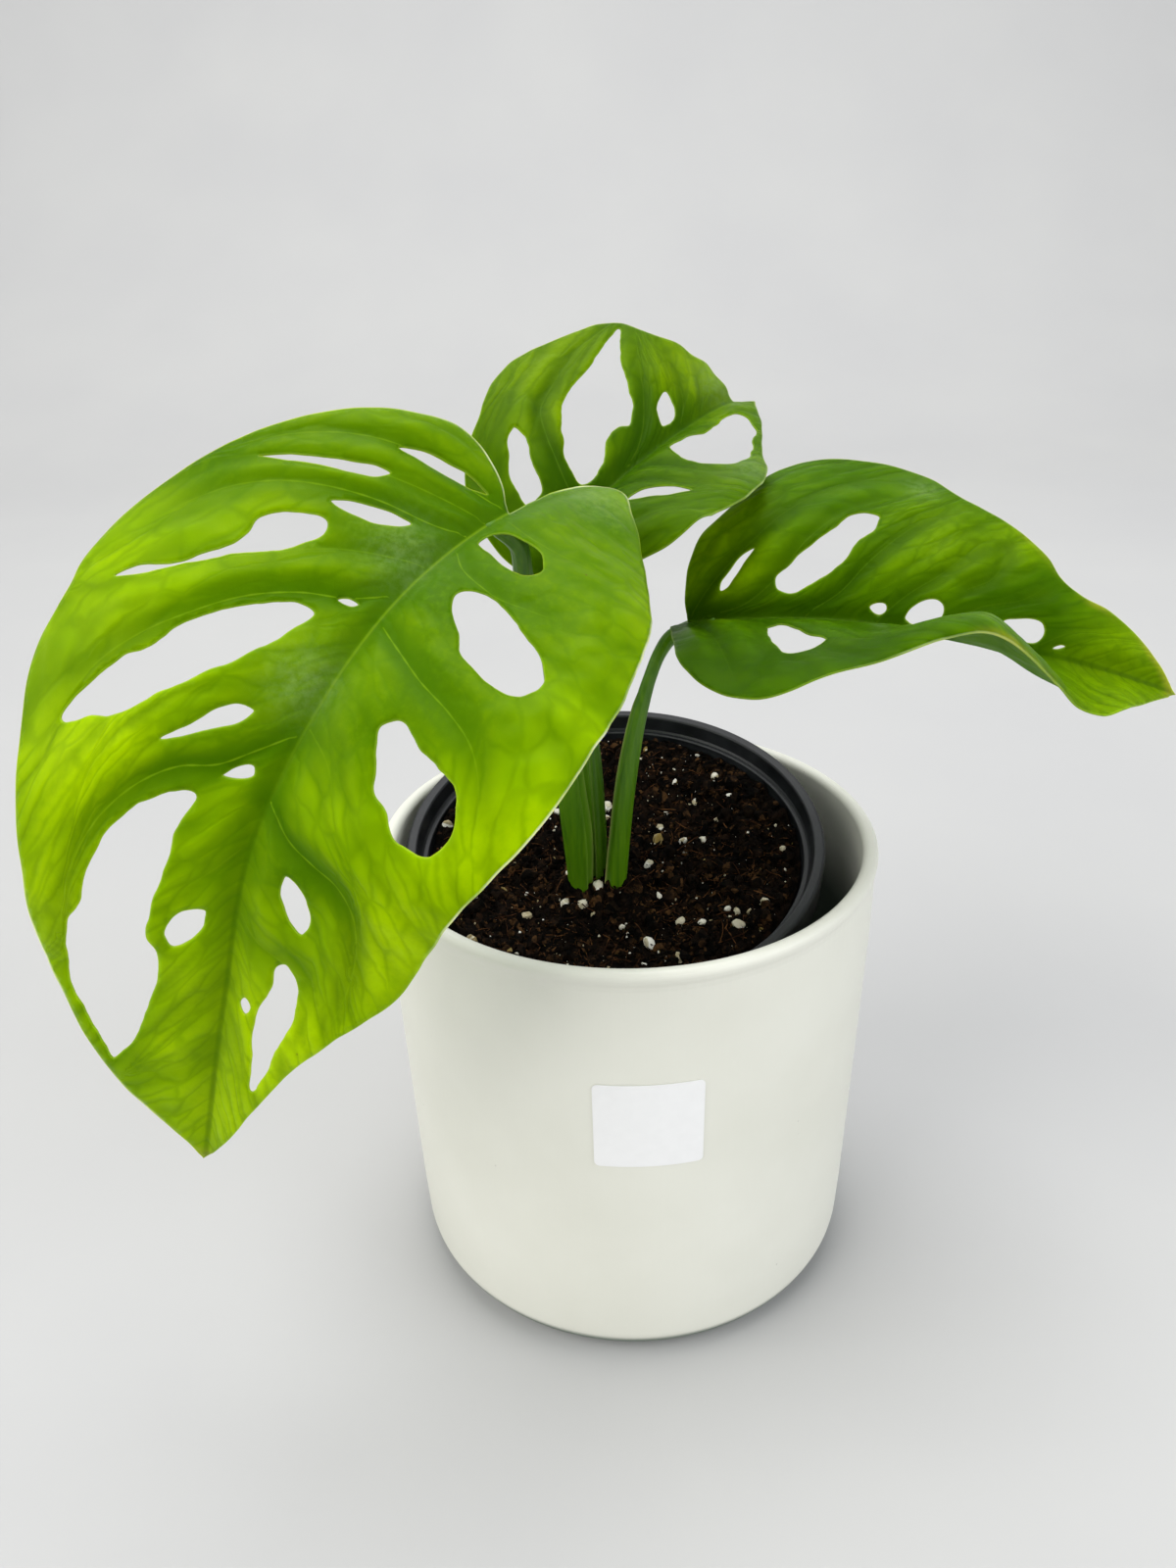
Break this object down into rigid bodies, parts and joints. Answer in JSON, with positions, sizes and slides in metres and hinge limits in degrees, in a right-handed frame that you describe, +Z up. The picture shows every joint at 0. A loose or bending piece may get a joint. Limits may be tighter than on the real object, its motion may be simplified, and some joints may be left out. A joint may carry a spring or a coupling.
{
  "type": "monstera adansonii in a pot",
  "caption": "Young monstera adansonii with holed, drooping leaves on upright stalks, in a leaning black nursery pot inside a smooth white round cover pot.",
  "frame": {"origin": "centre of the cover pot's flat base, on the surface that it stands on", "axes": "+Z up, +Y away from the viewer of the picture, +X to the viewer's right"},
  "size_m": [0.2347, 0.1707, 0.235],
  "materials": {
    "pot_white": "matte white glaze",
    "pot_black": "satin",
    "soil": "loose potting mix",
    "label": "satin",
    "leaf": "satin",
    "stalk": "satin"
  },
  "bodies": {
    "root": {"cover_pot": "pot_white", "nursery_pot": "pot_black", "soil": "soil", "blank_label": "label", "front_leaf": "leaf", "back_leaf": "leaf", "right_leaf": "leaf", "front_stalk": "stalk", "back_stalk": "stalk", "right_stalk": "stalk"}
  },
  "joints": []
}
